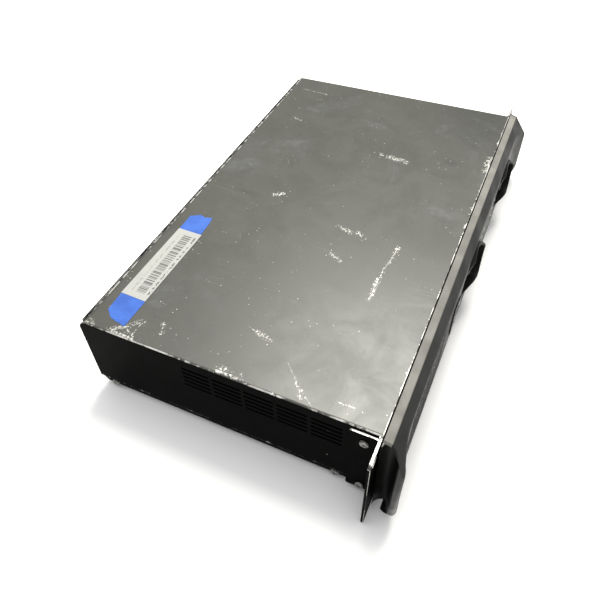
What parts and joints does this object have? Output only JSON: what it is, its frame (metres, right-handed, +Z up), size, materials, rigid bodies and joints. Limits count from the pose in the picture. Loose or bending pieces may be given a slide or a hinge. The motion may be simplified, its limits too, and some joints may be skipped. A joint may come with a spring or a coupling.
{
  "type": "power amplifier",
  "caption": "Rack-mount power amplifier: folded steel chassis with side vents, rack ears, a moulded front with end grips and hooded level knobs, and rear connectors.",
  "frame": {"origin": "bottom centre of the bounding box, on the plane of the feet", "axes": "+X along the width to the right seen from the front, +Y to the rear, +Z up; the front panel faces -Y"},
  "size_m": [0.4826, 0.2814, 0.0884],
  "materials": {
    "painted_steel": "satin black paint, worn to bare metal at the edges",
    "moulding": "fine-textured black moulding",
    "zinc_sheet": "zinc plated sheet",
    "screw_steel": "plated steel, worn black",
    "control_plastic": "black plastic",
    "rubber": "matt",
    "transformer": "varnished copper winding over an iron core",
    "heat_sink": "plain extrusion",
    "device_epoxy": "black epoxy",
    "circuit_board": "green solder mask",
    "capacitor_sleeve": "dark heat-shrink sleeve",
    "foam": "open-cell foam",
    "lens": "clear light pipe",
    "red_plastic": "red plastic",
    "tape": "blue crepe tape",
    "paper_label": "off-white paper label",
    "steel_shaft": "turned steel"
  },
  "bodies": {
    "chassis": {"top_cover": "painted_steel", "bottom_tray": "painted_steel", "rear_panel": "painted_steel", "left_rack_ear": "painted_steel", "right_rack_ear": "painted_steel", "front_subpanel": "zinc_sheet", "transformer_clamp": "zinc_sheet", "transformer_bolt": "zinc_sheet", "fan_guard": "zinc_sheet", "mode_switch_body": "zinc_sheet", "level_pot_1": "zinc_sheet", "level_pot_2": "zinc_sheet", "front_bezel": "moulding", "dust_filter": "foam", "power_switch_body": "control_plastic", "fan_frame": "control_plastic", "xlr_jack_1": "control_plastic", "xlr_jack_2": "control_plastic", "trs_jack_1": "control_plastic", "trs_jack_2": "control_plastic", "speaker_outlet_1": "control_plastic", "speaker_outlet_2": "control_plastic", "power_inlet": "control_plastic", "breaker_body": "control_plastic", "light_pipes": "lens", "control_board": "circuit_board", "amp_board": "circuit_board", "input_board": "circuit_board", "toroid_transformer": "transformer", "heat_sink_1": "heat_sink", "heat_sink_2": "heat_sink", "transistor_bank_1": "device_epoxy", "transistor_bank_2": "device_epoxy", "reservoir_capacitor_1": "capacitor_sleeve", "reservoir_capacitor_2": "capacitor_sleeve", "left_ear_screw_1": "screw_steel", "left_ear_screw_2": "screw_steel", "left_tray_screw_1": "screw_steel", "left_tray_screw_2": "screw_steel", "right_ear_screw_1": "screw_steel", "right_ear_screw_2": "screw_steel", "right_tray_screw_1": "screw_steel", "right_tray_screw_2": "screw_steel", "rubber_foot_1": "rubber", "rubber_foot_2": "rubber", "rubber_foot_3": "rubber", "rubber_foot_4": "rubber", "label_tape": "tape", "asset_label": "paper_label"},
    "level_1": {"level_knob_1": "control_plastic", "level_shaft_1": "steel_shaft"},
    "level_2": {"level_knob_2": "control_plastic", "level_shaft_2": "steel_shaft"},
    "rocker": {"power_rocker": "control_plastic"},
    "rotor": {"fan_rotor": "control_plastic"},
    "latch_1": {"xlr_latch_1": "zinc_sheet"},
    "latch_2": {"xlr_latch_2": "zinc_sheet"},
    "reset_button": {"breaker_button": "red_plastic"},
    "mode_slider": {"mode_switch_slider": "control_plastic"}
  },
  "joints": [
    {"name": "level_1_turn", "type": "hinge", "parent": "chassis", "child": "level_1", "pos_m": [0.008, -0.13145, 0.054], "axis": [0, 1, 0], "range_deg": [-150, 150]},
    {"name": "level_2_turn", "type": "hinge", "parent": "chassis", "child": "level_2", "pos_m": [0.146, -0.13145, 0.054], "axis": [0, 1, 0], "range_deg": [-150, 150]},
    {"name": "power_rocker_tilt", "type": "hinge", "parent": "chassis", "child": "rocker", "pos_m": [-0.055, -0.12795, 0.046], "axis": [-1, 0, 0], "range_deg": [0, 14]},
    {"name": "fan_spin", "type": "hinge", "parent": "chassis", "child": "rotor", "pos_m": [0.07, 0.12255, 0.046], "axis": [0, 1, 0], "continuous": true},
    {"name": "xlr_latch_1_press", "type": "slide", "parent": "chassis", "child": "latch_1", "axis": [0, -1, 0], "range_m": [0, 0.0025], "stiffness_N_per_m": 200},
    {"name": "xlr_latch_2_press", "type": "slide", "parent": "chassis", "child": "latch_2", "axis": [0, -1, 0], "range_m": [0, 0.0025], "stiffness_N_per_m": 200},
    {"name": "reset_button_pop", "type": "slide", "parent": "chassis", "child": "reset_button", "axis": [0, 1, 0], "range_m": [0, 0.0035]},
    {"name": "mode_switch_slide", "type": "slide", "parent": "chassis", "child": "mode_slider", "axis": [1, 0, 0], "range_m": [0, 0.0044]}
  ]
}
